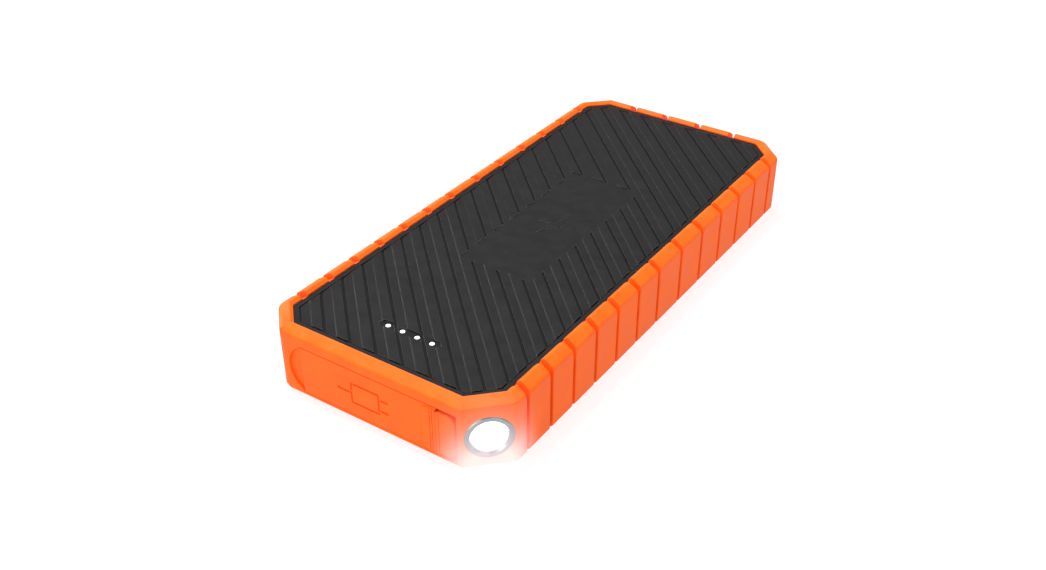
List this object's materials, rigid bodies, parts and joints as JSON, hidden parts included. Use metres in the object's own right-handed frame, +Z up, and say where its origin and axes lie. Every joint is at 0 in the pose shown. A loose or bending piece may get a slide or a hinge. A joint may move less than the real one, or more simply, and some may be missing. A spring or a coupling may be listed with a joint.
{
  "type": "jump starter pack",
  "caption": "Rugged portable jump starter pack with a ribbed rubber bumper, slatted covers, corner torch, charge gauge and hinged rubber flap over its sockets.",
  "frame": {"origin": "centre of the pack's footprint, on the surface it rests on", "axes": "+X across the width, +Y along the length away from the flap end, +Z up through the slatted top cover; the torch is in the +X, -Y corner"},
  "size_m": [0.08, 0.179, 0.0232],
  "materials": {
    "bumper_rubber": "moulded satin thermoplastic rubber",
    "cover_plastic": "fine matt grain",
    "seal_rubber": "smooth",
    "screw_steel": "zinc plated",
    "socket_blue": "moulded",
    "contact_gold": "gold plated",
    "plug_steel": "stamped nickel plated",
    "insulator_white": "moulded",
    "insulator_black": "moulded",
    "circuit_board": "solder mask",
    "ferrite": "pressed ferrite",
    "chip_black": "moulded epoxy",
    "heat_aluminium": "extruded",
    "can_aluminium": "satin",
    "cell_foil": "laminated pouch foil",
    "tape": "double sided tape",
    "foam": "closed cell foam",
    "nickel": "nickel strip",
    "lead_red": "silicone",
    "lead_black": "silicone",
    "bezel_metal": "satin anodised",
    "torch_glow": "clear lens, lit",
    "reflector_mirror": "vacuum metallised",
    "led_glow": "lit emitter",
    "torch_core": "white metal-core board",
    "gauge_glow": "clear light guide, lit",
    "ribbon_film": "polyimide film",
    "button_rubber": "soft moulded"
  },
  "bodies": {
    "casing": {"bumper": "bumper_rubber", "top_cover": "cover_plastic", "bottom_cover": "cover_plastic", "cover_gasket": "seal_rubber", "cover_screws": "screw_steel", "port_plate": "cover_plastic", "flap_anchor": "bumper_rubber", "jump_housing": "socket_blue", "jump_contacts": "contact_gold", "usb_a_shell": "plug_steel", "usb_a_tongue": "insulator_white", "usb_a_pins": "contact_gold", "usb_c_shell": "plug_steel", "usb_c_tongue": "insulator_black", "main_board": "circuit_board", "board_screws": "screw_steel", "power_inductor": "ferrite", "power_transistors": "chip_black", "heat_spreader": "heat_aluminium", "capacitors": "can_aluminium", "charge_controller": "chip_black", "cell_bottom": "cell_foil", "cell_middle": "cell_foil", "cell_top": "cell_foil", "cell_tapes": "tape", "foam_bottom": "foam", "foam_top": "foam", "cell_tabs": "nickel", "balance_board": "circuit_board", "lead_red": "lead_red", "lead_black": "lead_black", "torch_bezel": "bezel_metal", "torch_lens": "torch_glow", "torch_seal": "seal_rubber", "torch_reflector": "reflector_mirror", "torch_led": "led_glow", "torch_board": "torch_core", "torch_wires": "lead_red", "gauge_board": "circuit_board", "gauge_leds": "led_glow", "light_guide": "gauge_glow", "gauge_ribbon": "ribbon_film", "switch_body": "plug_steel"},
    "flap": {"port_flap": "bumper_rubber"},
    "button": {"power_button": "button_rubber", "switch_plunger": "insulator_black"}
  },
  "joints": [
    {"name": "flap_hinge", "type": "hinge", "parent": "casing", "child": "flap", "pos_m": [0.022, -0.0895, 0.011], "axis": [0, 0, 1], "range_deg": [0, 120]},
    {"name": "button_press", "type": "slide", "parent": "casing", "child": "button", "axis": [1, 0, 0], "range_m": [0, 0.0004], "stiffness_N_per_m": 1500, "springref_m": -0.0005}
  ]
}
